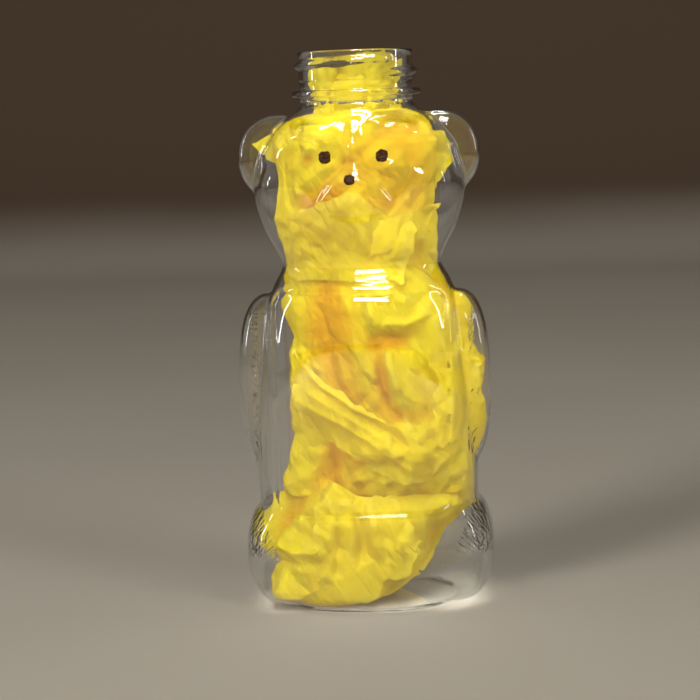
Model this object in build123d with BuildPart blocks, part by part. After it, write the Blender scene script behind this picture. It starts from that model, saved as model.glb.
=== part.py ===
"""A clear blow-moulded bear bottle, open at the neck, stuffed with crumpled tissue paper.

Millimetres, +Z up, the bear faces -Y, the origin lies under the middle of the base.
"""

import os
from math import cos, radians, sin

from build123d import *

# Neck finish for a 38 mm closure
neck_wall_diameter = 34.8
neck_relief_diameter = 34.1
neck_bore_diameter = 31.6
neck_relief_drop = 8.8
rim_bevel = 0.3
support_ring_diameter = 39.2
support_ring_thickness = 1.9
support_ring_drop = 11.7
support_ring_bevel = 0.5
neck_stub_height = 2.8

# Moulded body
bottle_height = 168.7
wall = 0.65
torso_height = 104.0
torso_width = 68.2
torso_depth = 56.0
head_width = 64.0
head_depth = 47.0

# Share of the torso's half depth that rounds its standing corners
torso_corner_share = 0.77

# Shares of the torso height, of its half width and of its half depth
torso_ring_shares = (
    (0.00, 0.80, 0.80),
    (0.05, 0.86, 0.85),
    (0.15, 0.93, 0.90),
    (0.26, 0.98, 0.98),
    (0.42, 1.00, 1.00),
    (0.62, 0.98, 1.00),
    (0.80, 0.92, 0.98),
    (0.91, 0.84, 0.92),
    (0.965, 0.765, 0.81),
    (1.00, 0.713, 0.70),
)

# Shares of the head height, of its half width and of its half depth
head_ring_shares = (
    (0.00, 0.76, 0.834),
    (0.10, 0.825, 0.90),
    (0.24, 0.92, 0.97),
    (0.48, 1.00, 1.00),
    (0.70, 0.95, 0.97),
    (0.85, 0.82, 0.90),
    (0.95, 0.665, 0.81),
)

# Ears
ear_diameter = 26.0
ear_thickness = 12.0
ear_spread = 47.6
ear_height = 137.5

# Face
muzzle_width = 24.4
muzzle_height = 18.5
muzzle_depth = 22.0
muzzle_reach = 28.0
muzzle_middle_height = 126.0
bridge_width = 9.5
bridge_length = 22.0
bridge_depth = 12.0
bridge_reach = 25.0
bridge_middle_height = 134.0
socket_spread = 21.0
socket_height = 138.2
socket_radius = 7.0
socket_reach = 20.8
eye_spread = 17.6
eye_height = 137.5
eye_dot_diameter = 3.6
nose_dot_diameter = 3.2
nose_dot_height = 130.9
paint_film = 0.25
paint_dab_corners = 8

# Arms
arm_reach = 38.7
arm_thickness = 23.4
arm_depth = 23.0
arm_bottom_height = 41.0
arm_length = 55.0
arm_lead = 2.5

# Thighs and feet
haunch_diameter = 37.0
haunch_spread = 40.0
haunch_height = 17.0
haunch_depth = 53.0
haunch_rounding = 15.0

# Label panels, front and back
panel_width = 52.0
panel_bottom_height = 31.0
panel_top_height = 97.5
panel_corner = 4.6
panel_recess = 0.8

# Push-up under the base
push_up_width = 44.0
push_up_depth = 34.0
push_up_rise = 3.0

# Tissue paper, pushed in as four loose wads
tissue_clearance = 0.3
tissue_corners = 14
tissue_waves = 4
tissue_fold_share = 0.17
tissue_turn = 47.0
neck_tissue_drop = 5.3
head_tissue_drop = 19.7
torso_tissue_top_height = 107.0
base_tissue_top_height = 36.0

# Shares of the wad's height, and of half the trunk's width and depth: shift to the
# side, shift back, half width and half depth
head_tissue_shares = (
    (0.00, 0.04, -0.02, 0.64, 0.52),
    (0.13, 0.01, -0.05, 0.66, 0.56),
    (0.29, -0.03, -0.08, 0.72, 0.62),
    (0.50, 0.03, -0.10, 0.76, 0.64),
    (0.70, 0.05, -0.08, 0.86, 0.60),
    (0.86, -0.03, -0.02, 0.84, 0.52),
    (1.00, -0.02, 0.00, 0.42, 0.40),
)
torso_tissue_shares = (
    (0.00, 0.10, -0.06, 0.94, 0.66),
    (0.11, 0.16, -0.10, 0.86, 0.70),
    (0.26, 0.23, -0.06, 0.82, 0.74),
    (0.41, 0.19, -0.04, 0.92, 0.70),
    (0.53, 0.18, -0.08, 0.94, 0.74),
    (0.66, 0.16, -0.10, 0.80, 0.70),
    (0.78, 0.12, -0.08, 0.78, 0.66),
    (0.89, 0.09, -0.04, 0.72, 0.60),
    (1.00, 0.03, 0.00, 0.62, 0.50),
)
base_tissue_shares = (
    (0.00, -0.32, -0.24, 0.62, 0.52),
    (0.16, -0.30, -0.24, 0.70, 0.60),
    (0.36, -0.24, -0.20, 0.82, 0.66),
    (0.56, -0.18, -0.16, 0.90, 0.66),
    (0.76, -0.04, -0.12, 1.00, 0.68),
    (1.00, 0.08, -0.06, 0.98, 0.68),
)

# The broad fold that crosses the front of the torso wad, and the hollow above it, with
# their corners as (across, height)
sash_corners = (
    (-20.5, 82.0),
    (2.0, 63.5),
    (23.5, 44.5),
    (12.0, 40.5),
    (3.0, 48.0),
    (-19.0, 59.0),
)
hollow_corners = (
    (-1.0, 86.5),
    (17.0, 84.5),
    (15.5, 58.0),
    (8.0, 62.0),
    (3.5, 66.5),
)
sash_root = 16.0
sash_rise = 9.0
hollow_floor = 18.5
fold_slant = 25.0

# Shares of the wad's height, and of the bore's radius less the clearance
neck_tissue_shares = (
    (0.00, 0.88),
    (0.22, 1.00),
    (0.55, 0.94),
    (0.80, 1.00),
    (1.00, 0.78),
)

# One overrun for every cut that must pass a face
overrun = 2.0

ring_bottom_height = bottle_height - support_ring_drop - support_ring_thickness
shoulder_height = ring_bottom_height - neck_stub_height
head_height = shoulder_height - torso_height
neck_tissue_top_height = bottle_height - neck_tissue_drop
head_tissue_top_height = bottle_height - head_tissue_drop
sides = (-1, 1)


def squared_section(half_width, half_depth):
    """A level section of the trunk: flattish sides and wide corners."""
    RectangleRounded(2 * half_width, 2 * half_depth, torso_corner_share * half_depth)


def ring_stack(rings, section):
    """A smooth solid through level sections: (height, half width, half depth)."""
    with BuildPart() as stack:
        for height, half_width, half_depth in rings:
            with BuildSketch(Plane.XY.offset(height)):
                section(half_width, half_depth)
        loft()
    return stack.part


def egg(middle, half_width, half_depth, half_height):
    """A unit ball stretched to size and put in place."""
    with BuildPart() as ball:
        Sphere(1)
        scale(by=(half_width, half_depth, half_height))
    return ball.part.moved(Location(middle))


def torso_form(inset):
    """The trunk, from the floor to the groove under the head."""
    rings = [
        (
            inset + height_share * (torso_height - inset),
            width_share * torso_width / 2 - inset,
            depth_share * torso_depth / 2 - inset,
        )
        for height_share, width_share, depth_share in torso_ring_shares
    ]
    return ring_stack(rings, squared_section)


def head_form(inset):
    """The head, from the groove to the shoulder under the neck."""
    rings = [
        (
            torso_height + height_share * (head_height - inset),
            width_share * head_width / 2 - inset,
            depth_share * head_depth / 2 - inset,
        )
        for height_share, width_share, depth_share in head_ring_shares
    ]
    shoulder_radius = neck_relief_diameter / 2 - inset
    rings.append((shoulder_height - inset, shoulder_radius, shoulder_radius))
    return ring_stack(rings, Ellipse)


def flat_drum(middle, radius, depth, rounding):
    """A disc standing on edge, turned about a front to back axis, with rounded rims."""
    with BuildPart() as drum:
        with BuildSketch(Plane(middle, x_dir=(1, 0, 0), z_dir=(0, 0, 1))):
            RectangleRounded(2 * radius, depth, rounding)
            Rectangle(2 * radius, depth, align=(Align.MAX, Align.CENTER), mode=Mode.SUBTRACT)
        revolve(axis=Axis(middle, (0, 1, 0)))
    return drum.part


def ear_form(inset, side):
    """A round ear standing out from the side of the head."""
    with BuildPart() as ear:
        middle = (side * ear_spread / 2, 0, ear_height)
        with BuildSketch(Plane(middle, x_dir=(1, 0, 0), z_dir=(0, 0, 1))):
            Ellipse(ear_diameter / 2 - inset, ear_thickness / 2 - inset)
            Rectangle(ear_diameter, ear_thickness, align=(Align.MAX, Align.CENTER), mode=Mode.SUBTRACT)
        revolve(axis=Axis(middle, (0, 1, 0)))
    return ear.part


def arm_form(inset, side):
    """An arm lying along the side of the trunk."""
    return egg(
        (side * (arm_reach - arm_thickness / 2), -arm_lead, arm_bottom_height + arm_length / 2),
        arm_thickness / 2 - inset,
        arm_depth / 2 - inset,
        arm_length / 2 - inset,
    )


def haunch_form(inset, side):
    """A thigh and its foot in one."""
    return flat_drum(
        (side * haunch_spread / 2, 0, haunch_height),
        haunch_diameter / 2 - inset,
        haunch_depth - 2 * inset,
        haunch_rounding - inset,
    )


def face_form(inset):
    """The head with its eye sockets, the bridge of the nose and the muzzle."""
    head = head_form(inset)
    bridge = egg(
        (0, bridge_depth / 2 - bridge_reach, bridge_middle_height),
        bridge_width / 2 - inset,
        bridge_depth / 2 - inset,
        bridge_length / 2 - inset,
    )
    muzzle = egg(
        (0, muzzle_depth / 2 - muzzle_reach, muzzle_middle_height),
        muzzle_width / 2 - inset,
        muzzle_depth / 2 - inset,
        muzzle_height / 2 - inset,
    )
    socket_lead = socket_reach + socket_radius
    with BuildPart() as face:
        add(head)
        with Locations(
            *[(side * socket_spread / 2, -socket_lead, socket_height) for side in sides]
        ):
            Sphere(socket_radius + inset, mode=Mode.SUBTRACT)
        add(bridge)
        add(muzzle)
    return face.part


def panel_form(inset):
    """What the sunk label panels take off the front and the back of the trunk."""
    panel_height = panel_top_height - panel_bottom_height
    core = torso_form(inset + panel_recess)
    with BuildPart() as panels:
        with BuildSketch(Plane.XZ):
            with Locations((0, panel_bottom_height + panel_height / 2)):
                RectangleRounded(
                    panel_width + 2 * inset, panel_height + 2 * inset, panel_corner + inset
                )
        extrude(amount=torso_depth, both=True)
        add(core, mode=Mode.SUBTRACT)
    return panels.part


def push_up_form(inset):
    """The dome that rises under the base."""
    return egg(
        (0, 0, 0), push_up_width / 2 + inset, push_up_depth / 2 + inset, push_up_rise + inset
    )


def bear_form(inset):
    """The whole moulded body under the neck, drawn in by the inset all over."""
    torso = torso_form(inset)
    panels = panel_form(inset)
    face = face_form(inset)
    limbs = [form(inset, side) for form in (ear_form, arm_form, haunch_form) for side in sides]
    push_up = push_up_form(inset)
    with BuildPart() as bear:
        add(torso)
        add(panels, mode=Mode.SUBTRACT)
        add(face)
        for limb in limbs:
            add(limb)
        split(bisect_by=Plane.XY.offset(inset))
        add(push_up, mode=Mode.SUBTRACT)
    return bear.part


def tissue_room_form(inset):
    """The room for paper inside the trunk and the head, clear of the label panels."""
    torso = torso_form(inset)
    head = head_form(inset)
    push_up = push_up_form(wall + tissue_clearance)
    with BuildPart() as room:
        add(torso)
        add(head)
        add(push_up, mode=Mode.SUBTRACT)
    return room.part


def wad(rings, turn_start):
    """Crumpled paper: straight-sided facets between folded rings, (height, x, y, half sizes)."""
    with BuildPart() as paper:
        for number, (height, shift, back, half_width, half_depth) in enumerate(rings):
            turn = turn_start + number * tissue_turn
            corners = []
            for corner in range(tissue_corners):
                angle = radians(360 * corner / tissue_corners)
                fold = (1 + sin(tissue_waves * angle + radians(turn))) / 2
                reach = 1 - tissue_fold_share * fold
                corners.append((
                    shift + reach * half_width * cos(angle),
                    back + reach * half_depth * sin(angle),
                ))
            with BuildSketch(Plane.XY.offset(height)):
                with BuildLine():
                    Polyline(*corners, close=True)
                make_face()
        loft(ruled=True)
    return paper.part


def stuffed_wad(shares, bottom, top, turn_start, room):
    """A wad sized by the trunk and trimmed to the room inside the bottle."""
    rings = [
        (
            bottom + height_share * (top - bottom),
            side_share * torso_width / 2,
            back_share * torso_depth / 2,
            width_share * torso_width / 2,
            depth_share * torso_depth / 2,
        )
        for height_share, side_share, back_share, width_share, depth_share in shares
    ]
    paper = wad(rings, turn_start)
    with BuildPart() as trimmed:
        add(paper)
        add(room, mode=Mode.INTERSECT)
    return trimmed.part


def front_fold(corners, root, rise, slant):
    """A fold on the front of the paper, from its root outwards, with slanted sides."""
    with BuildPart() as fold:
        with BuildSketch(Plane.XZ.offset(root)):
            with BuildLine():
                Polyline(*corners, close=True)
            make_face()
        extrude(amount=rise, taper=slant)
    return fold.part


outer_form = bear_form(0)
inner_form = bear_form(wall)
tissue_room = tissue_room_form(wall + panel_recess + tissue_clearance)

# The moulded bottle: body, neck stub, support ring and neck finish in one shell
with BuildPart() as bottle:
    add(outer_form)
    with BuildSketch(Plane.XY.offset(shoulder_height)):
        Circle(neck_relief_diameter / 2)
    extrude(amount=bottle_height - neck_relief_drop - shoulder_height)
    with BuildSketch(Plane.XY.offset(bottle_height - neck_relief_drop)):
        Circle(neck_wall_diameter / 2)
    extrude(amount=neck_relief_drop)
    chamfer(bottle.edges().group_by(Axis.Z)[-1], rim_bevel)
    with BuildSketch(Plane.XY.offset(ring_bottom_height)):
        Circle(support_ring_diameter / 2)
    extrude(amount=support_ring_thickness)
    chamfer(
        bottle.edges().filter_by(GeomType.CIRCLE).sort_by(SortBy.RADIUS)[-2:],
        support_ring_bevel,
    )
    add(inner_form, mode=Mode.SUBTRACT)
    with BuildSketch(Plane.XY.offset(shoulder_height - wall - overrun)):
        Circle(neck_bore_diameter / 2)
    extrude(amount=bottle_height - shoulder_height + wall + 2 * overrun, mode=Mode.SUBTRACT)
bottle.part.label = "bottle"

# Dabs of paint on the outside of the face, which the face itself backs
painted_face = face_form(-paint_film)
bare_face = face_form(0)


def paint_dot(x, height, diameter):
    with BuildPart() as dot:
        with BuildSketch(Plane.XZ):
            with Locations((x, height)):
                RegularPolygon(diameter / 2, paint_dab_corners)
        extrude(amount=head_depth)
        add(painted_face, mode=Mode.INTERSECT)
        add(bare_face, mode=Mode.SUBTRACT)
    return dot.part


left_eye = paint_dot(-eye_spread / 2, eye_height, eye_dot_diameter)
left_eye.label = "left_eye"
right_eye = paint_dot(eye_spread / 2, eye_height, eye_dot_diameter)
right_eye.label = "right_eye"
nose = paint_dot(0, nose_dot_height, nose_dot_diameter)
nose.label = "nose"

# Tissue in the neck
neck_tissue_reach = neck_bore_diameter / 2 - tissue_clearance
neck_tissue = wad(
    [
        (
            head_tissue_top_height
            + height_share * (neck_tissue_top_height - head_tissue_top_height),
            0,
            0,
            reach_share * neck_tissue_reach,
            reach_share * neck_tissue_reach,
        )
        for height_share, reach_share in neck_tissue_shares
    ],
    tissue_turn,
)
neck_tissue.label = "neck_tissue"

head_tissue = stuffed_wad(
    head_tissue_shares, torso_tissue_top_height, head_tissue_top_height, 0, tissue_room
)
head_tissue.label = "head_tissue"

sash = front_fold(sash_corners, sash_root, sash_rise, fold_slant)
hollow = front_fold(hollow_corners, hollow_floor, torso_depth / 2 - hollow_floor, -fold_slant)
torso_wad = stuffed_wad(
    torso_tissue_shares, base_tissue_top_height, torso_tissue_top_height, tissue_turn, tissue_room
)
with BuildPart() as folded_wad:
    add(torso_wad)
    add(hollow, mode=Mode.SUBTRACT)
    add(sash)
    add(tissue_room, mode=Mode.INTERSECT)
torso_tissue = folded_wad.part
torso_tissue.label = "torso_tissue"

base_tissue = stuffed_wad(
    base_tissue_shares, wall + tissue_clearance, base_tissue_top_height, -tissue_turn, tissue_room
)
base_tissue.label = "base_tissue"

os.makedirs("parts", exist_ok=True)
for piece in (
    bottle.part,
    left_eye,
    right_eye,
    nose,
    neck_tissue,
    head_tissue,
    torso_tissue,
    base_tissue,
):
    export_step(piece, f"parts/{piece.label}.step")
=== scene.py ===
import math

import bmesh
import bpy
import numpy as np
from mathutils import Matrix, Vector, noise
from mathutils.bvhtree import BVHTree


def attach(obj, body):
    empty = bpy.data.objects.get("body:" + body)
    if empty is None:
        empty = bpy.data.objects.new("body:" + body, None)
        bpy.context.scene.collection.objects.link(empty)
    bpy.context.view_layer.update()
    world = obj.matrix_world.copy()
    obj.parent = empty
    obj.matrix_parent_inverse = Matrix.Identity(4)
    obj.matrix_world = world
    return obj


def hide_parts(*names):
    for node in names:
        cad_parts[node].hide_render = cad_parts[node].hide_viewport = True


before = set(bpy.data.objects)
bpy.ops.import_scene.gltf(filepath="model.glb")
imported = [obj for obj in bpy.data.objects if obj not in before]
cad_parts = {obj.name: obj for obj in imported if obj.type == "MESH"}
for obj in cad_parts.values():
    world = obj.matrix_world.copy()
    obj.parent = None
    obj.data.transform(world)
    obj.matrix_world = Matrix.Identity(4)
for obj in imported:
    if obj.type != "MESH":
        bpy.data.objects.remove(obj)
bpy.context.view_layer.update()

bpy.ops.object.select_all(action="DESELECT")
noise.seed_set(5)

MM = 0.001

# The moulded body as a distance field, in millimetres: +Z up, the bear faces -Y

# Height, half width, half depth and squareness of the level sections. A squareness of 2 is
# an ellipse, and more stands its corners out.
BODY_STATIONS = (
    (-4.0, 27.6, 23.2, 2.5),
    (0.0, 27.6, 23.2, 2.5),
    (5.0, 29.8, 24.2, 2.5),
    (15.0, 31.8, 25.4, 2.6),
    (26.0, 33.4, 27.2, 2.7),
    (42.0, 34.1, 28.0, 2.7),
    (62.0, 33.6, 28.0, 2.7),
    (80.0, 31.8, 27.7, 2.7),
    (92.0, 29.6, 26.8, 2.6),
    (98.5, 27.0, 24.6, 2.5),
    (104.5, 24.3, 19.8, 2.3),
    (109.5, 26.2, 21.2, 2.2),
    (116.0, 29.5, 22.8, 2.2),
    (127.0, 32.0, 23.5, 2.2),
    (137.5, 30.4, 22.9, 2.2),
    (145.0, 26.0, 21.2, 2.1),
    (149.5, 21.3, 19.2, 2.0),
    (151.8, 18.2, 17.8, 2.0),
    (153.0, 17.05, 17.05, 2.0),
    (162.0, 17.05, 17.05, 2.0),
)
WALL = 0.65
BORE_RADIUS = 15.8
BORE_BOTTOM = 149.0
NECK_START = 153.6
BORE_START = 153.2
LAND_ROUNDING = 3.5


def rings_at(z):
    """Half width, half depth and squareness of the body at each height, through the stations."""
    table = np.array(BODY_STATIONS)
    height = table[:, 0]
    spans = np.diff(height)
    place = np.clip(np.searchsorted(height, z) - 1, 0, len(spans) - 1)
    t = np.clip((z - height[place]) / spans[place], 0, 1)
    found = []
    for column in table[:, 1:].T:
        steps = np.diff(column) / spans
        same_way = steps[:-1] * steps[1:] > 0
        mean = 2 * steps[:-1] * steps[1:] / np.where(same_way, steps[:-1] + steps[1:], 1)
        slopes = np.concatenate(([0], np.where(same_way, mean, 0), [0]))
        low, high = column[place], column[place + 1]
        rise_low, rise_high = slopes[place] * spans[place], slopes[place + 1] * spans[place]
        found.append(
            (1 + 2 * t) * (1 - t) ** 2 * low
            + t * (1 - t) ** 2 * rise_low
            + t * t * (3 - 2 * t) * high
            + t * t * (t - 1) * rise_high
        )
    return found


def joined(a, b, blend):
    """Two forms in one, with a fillet where they meet."""
    share = np.clip(0.5 + 0.5 * (b - a) / blend, 0, 1)
    return b + (a - b) * share - blend * share * (1 - share)


def cut(a, b, blend):
    """What is left of a when b is taken away."""
    return -joined(-a, b, blend)


def egg(p, middle, radii, squareness=2.0):
    """About how far each point lies outside an egg."""
    q = [np.abs(p[i] - middle[i]) for i in range(3)]
    share = sum((q[i] / radii[i]) ** squareness for i in range(3)) ** (1 / squareness)
    steep = np.sqrt(sum((q[i] / radii[i] ** 2) ** 2 for i in range(3)))
    reach = np.sqrt(sum((q[i] / radii[i]) ** 2 for i in range(3)))
    return (share - 1) * reach / np.maximum(steep, 1e-6)


def section_radius(x, y, z):
    half_width, half_depth, squareness = rings_at(z)
    share = (np.abs(x) / half_width) ** squareness + (np.abs(y) / half_depth) ** squareness
    return np.hypot(x, y) / np.maximum(share, 1e-9) ** (1 / squareness)


def trunk_and_head(p):
    x, y, z = p
    step = 0.4
    slope = (section_radius(x, y, z + step) - section_radius(x, y, z - step)) / (2 * step)
    return (np.hypot(x, y) - section_radius(x, y, z)) / np.sqrt(1 + slope**2)


PANEL_HALF_WIDTH = 26.0
PANEL_LOW, PANEL_HIGH = 31.0, 97.5
PANEL_CORNER = 4.8
PANEL_RECESS = 0.8
PANEL_STEP = 1.5


def label_panels(p):
    """How deep the sunk label panels lie at each point."""
    x, y, z = p
    across = np.abs(x) - (PANEL_HALF_WIDTH - PANEL_CORNER)
    up = np.abs(z - (PANEL_LOW + PANEL_HIGH) / 2) - ((PANEL_HIGH - PANEL_LOW) / 2 - PANEL_CORNER)
    edge = np.hypot(np.maximum(across, 0), np.maximum(up, 0))
    edge = edge + np.minimum(np.maximum(across, up), 0)
    share = np.clip(0.5 - (edge - PANEL_CORNER) / PANEL_STEP, 0, 1)
    return PANEL_RECESS * share * share * (3 - 2 * share)


# Middle, radii and, where it isn't 2, squareness of each form; for a pair, the one on +X
EAR = ((23.8, 0, 137.5), (13.0, 6.2, 13.0), 2.2)
ARM = ((28.6, -2.5, 68.5), (10.1, 11.5, 27.5), 2.5)
HAUNCH = ((21.4, 0.5, 16.8), (16.9, 26.0, 18.6), 2.5)
PUSH_UP = ((0, 0, -1), (24.0, 18.5, 4.2), 2.2)
BROW = ((9.8, -15.2, 145.4), (8.0, 7.2, 3.0))
CHEEK = ((20.0, -11.5, 129.0), (9.0, 9.8, 8.5))
EYE_SOCKET = ((10.8, -26.0, 138.4), (5.2, 5.0, 5.0))
EYEBALL = ((10.8, -17.2, 138.4), (4.0, 3.9, 4.0))
NOSE_BRIDGE = ((0, -16.0, 138.5), (2.9, 8.6, 8.0))
SNOUT_HALF_WIDTH = 12.4
SNOUT = ((0, -17.0, 127.0), (SNOUT_HALF_WIDTH, 10.8, 10.2), 2.3)
# Half width at the snout's top, what it gains on the way down, and where the taper lies
SNOUT_TOP_WIDTH = 4.6
SNOUT_SPREAD = 8.4
SNOUT_TAPER_TOP, SNOUT_TAPER = 136.5, 12.0


def face(p, form):
    """Brows, cheeks, eye sockets with their eyeballs, the bridge of the nose and the snout."""
    x, y, z = p
    mirrored = (np.abs(x), y, z)
    form = joined(form, egg(mirrored, *BROW), 2.0)
    form = joined(form, egg(mirrored, *CHEEK), 3.0)
    form = cut(form, egg(mirrored, *EYE_SOCKET), 0.9)
    form = joined(form, egg(mirrored, *EYEBALL), 0.5)
    form = joined(form, egg(p, *NOSE_BRIDGE), 1.6)
    width = SNOUT_TOP_WIDTH + SNOUT_SPREAD * np.clip((SNOUT_TAPER_TOP - z) / SNOUT_TAPER, 0, 1)
    snout = egg((x * SNOUT_HALF_WIDTH / width, y, z), *SNOUT)
    return joined(form, snout * width / SNOUT_HALF_WIDTH, 1.0)


def body(p):
    """Distance of each point from the outside of the moulding, less than zero inside it."""
    x, y, z = p
    mirrored = (np.abs(x), y, z)
    form = trunk_and_head(p) + label_panels(p)
    form = joined(form, egg(mirrored, *EAR), 1.4)
    form = joined(form, egg(mirrored, *ARM), 1.0)
    form = joined(form, egg(mirrored, *HAUNCH), 1.4)
    form = face(p, form)
    form = cut(form, egg(p, *PUSH_UP), 0.8)
    return -joined(-form, z, LAND_ROUNDING)


def inside(p):
    """The same for the room inside, with the bore that leads up from it."""
    x, y, z = p
    bore = np.maximum(np.hypot(x, y) - BORE_RADIUS, BORE_BOTTOM - z)
    return joined(np.maximum(body(p) + WALL, z - (NECK_START - 1.4)), bore, 0.8)


# Nets of quads over a distance field

NET_LOW = np.array((-41.0, -31.0, -1.6))
NET_HIGH = np.array((41.0, 31.0, 156.0))


def crossings(values, spacing):
    """One point in each cell that the surface passes through, and the cell's number."""
    shape = np.array(values.shape) - 1
    total = np.zeros((*shape, 3))
    count = np.zeros(shape)
    for a in np.ndindex(2, 2, 2):
        for axis in range(3):
            if a[axis]:
                continue
            b = tuple(1 if i == axis else a[i] for i in range(3))
            here, there = (
                values[c[0] : c[0] + shape[0], c[1] : c[1] + shape[1], c[2] : c[2] + shape[2]]
                for c in (a, b)
            )
            crossed = (here < 0) != (there < 0)
            spot = np.zeros((*shape, 3)) + np.array(a)
            spot[..., axis] = here / np.where(crossed, here - there, 1)
            total += np.where(crossed[..., None], spot, 0)
            count += crossed
    used = count > 0
    number = -np.ones(shape, int)
    number[used] = np.arange(used.sum())
    return (np.argwhere(used) + total[used] / count[used][:, None]) * spacing + NET_LOW, number


def quads_between(values, number):
    """A quad round each grid line that the surface crosses, turned to face outwards."""
    quads = []
    for axis in range(3):
        u, v = (axis + 1) % 3, (axis + 2) % 3
        first, second = ([slice(None)] * 3 for _ in range(2))
        first[axis], second[axis] = slice(0, -1), slice(1, None)
        negative = values < 0
        starts = np.argwhere(negative[tuple(first)] != negative[tuple(second)])
        cells = np.array(number.shape)
        within = [(starts[:, way] > 0) & (starts[:, way] < cells[way]) for way in (u, v)]
        starts = starts[within[0] & within[1]]
        ring = []
        for du, dv in ((1, 1), (0, 1), (0, 0), (1, 0)):
            at = starts.copy()
            at[:, u] -= du
            at[:, v] -= dv
            ring.append(number[tuple(at.T)])
        ring = np.stack(ring, 1)
        backwards = ~negative[tuple(starts.T)]
        ring[backwards] = ring[backwards][:, ::-1]
        quads.append(ring)
    return np.concatenate(quads)


def slope_of(form, points, step=0.05):
    """Which way, and how steeply, the form rises at each point."""
    moves = step * np.eye(3)
    return np.stack([form((points + m).T) - form((points - m).T) for m in moves], 1) / (2 * step)


def drawn_to(form, points):
    """The points moved onto the form's surface."""
    slope = slope_of(form, points)
    move = slope * (form(points.T) / np.maximum((slope**2).sum(1), 0.25))[:, None]
    return points - np.clip(move, -0.4, 0.4)


def net(form, spacing):
    """Even quads over the surface where the form is zero."""
    axes = [np.arange(NET_LOW[i], NET_HIGH[i] + spacing, spacing) for i in range(3)]
    values = form(np.meshgrid(*axes, indexing="ij"))
    points, number = crossings(values, spacing)
    quads = quads_between(values, number)
    edges = np.concatenate([quads[:, [i, (i + 1) % 4]] for i in range(4)])
    for _ in range(3):
        near = np.zeros_like(points)
        np.add.at(near, edges[:, 0], points[edges[:, 1]])
        points = points / 2 + near / 2 / np.bincount(edges[:, 0], minlength=len(points))[:, None]
        points = drawn_to(form, drawn_to(form, points))
    return drawn_to(form, points), quads


# Making and finishing pieces


def piece_from(name, points, faces):
    """A mesh piece, from points in millimetres."""
    mesh = bpy.data.meshes.new(name)
    mesh.from_pydata((np.asarray(points) * MM).tolist(), [], np.asarray(faces).tolist())
    mesh.update()
    piece = bpy.data.objects.new(name, mesh)
    bpy.context.collection.objects.link(piece)
    return piece


def only(piece):
    bpy.ops.object.select_all(action="DESELECT")
    piece.select_set(True)
    bpy.context.view_layer.objects.active = piece
    return piece


def cut_level(piece, height):
    """Cuts off all that is above the height. Bisect's own threshold leaves points that lie
    less than 0.1 mm above it where they are."""
    only(piece)
    bpy.ops.object.mode_set(mode="EDIT")
    bpy.ops.mesh.select_all(action="SELECT")
    bpy.ops.mesh.bisect(plane_co=(0, 0, height * MM), plane_no=(0, 0, 1), clear_outer=True)
    bpy.ops.object.mode_set(mode="OBJECT")


def finished(piece, nodes, material):
    """Gives the piece its material, hangs it on the root body and hides the CAD parts named in
    nodes.
    """
    piece.data.materials.clear()
    piece.data.materials.append(material)
    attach(piece, "root")
    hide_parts(*nodes)
    return piece


# Neck finish

NECK_STEPS = 192
NECK_RADIUS = 17.4
THREAD_ROW = 0.3
# Radius and height round the neck, from the shoulder up, over the rim and down the bore
NECK_PROFILE = (
    (17.05, 153.6), (17.05, 154.6), (17.2, 155.0), (17.55, 155.1), (19.1, 155.12), (19.5, 155.35),
    (19.6, 155.7), (19.6, 156.4), (19.5, 156.75), (19.1, 156.98), (17.4, 157.0), (17.12, 157.1),
    (17.05, 157.4), (17.05, 159.5), (17.15, 159.8), (17.4, 160.0),
)
RIM_PROFILE = (
    (17.4, 168.3), (17.3, 168.55), (17.1, 168.68), (16.6, 168.7), (16.1, 168.68), (15.9, 168.55),
    (15.8, 168.3), (15.8, 166.0), (15.8, 163.0), (15.8, 160.0), (15.8, 157.0), (15.8, 155.0),
    (15.8, 153.2),
)
THREAD_START = -43.0
THREAD_END = 340.0
THREAD_TOP = 165.9
THREAD_PITCH = 4.2
THREAD_HEIGHT = 1.25
THREAD_ROOT = 1.45
THREAD_CREST = 0.45
THREAD_RUNOUT = 16.0


def thread_rise(x, y, z):
    """How far the one turn of thread stands out at a point of the neck wall."""
    turn = math.degrees(math.atan2(-x, -y))
    rise = 0
    for way_round in (turn, turn + 360):
        drop = (way_round - THREAD_START) / 360 * THREAD_PITCH
        ends = min(way_round - THREAD_START, THREAD_END - way_round) / THREAD_RUNOUT
        flank = (THREAD_ROOT - abs(z - THREAD_TOP + drop)) / (THREAD_ROOT - THREAD_CREST)
        rise = max(rise, THREAD_HEIGHT * max(min(flank, 1), 0) * max(min(ends, 1), 0))
    return rise


def neck():
    """The neck finish, spun from its profile, with the thread raised on its wall."""
    rows = np.arange(NECK_PROFILE[-1][1] + THREAD_ROW, RIM_PROFILE[0][1] - 0.1, THREAD_ROW)
    profile = [*NECK_PROFILE, *((NECK_RADIUS, z) for z in rows), *RIM_PROFILE]
    mesh = bpy.data.meshes.new("neck")
    line = [(i, i + 1) for i in range(len(profile) - 1)]
    mesh.from_pydata([(0, -r * MM, z * MM) for r, z in profile], line, [])
    piece = bpy.data.objects.new("neck", mesh)
    bpy.context.collection.objects.link(piece)
    only(piece)
    bpy.ops.object.mode_set(mode="EDIT")
    bpy.ops.mesh.select_all(action="SELECT")
    bpy.ops.mesh.spin(steps=NECK_STEPS, angle=2 * math.pi, center=(0, 0, 0), axis=(0, 0, 1))
    bpy.ops.mesh.select_all(action="SELECT")
    bpy.ops.mesh.remove_doubles(threshold=0.01 * MM)
    bpy.ops.mesh.normals_make_consistent(inside=False)
    bpy.ops.object.mode_set(mode="OBJECT")
    for v in piece.data.vertices:
        radius = math.hypot(v.co.x, v.co.y)
        if radius > (NECK_RADIUS - 0.05) * MM and v.co.z > (NECK_PROFILE[-1][1] - 0.1) * MM:
            rise = thread_rise(v.co.x / MM, v.co.y / MM, v.co.z / MM) * MM
            v.co.x *= (radius + rise) / radius
            v.co.y *= (radius + rise) / radius
    return piece


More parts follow.
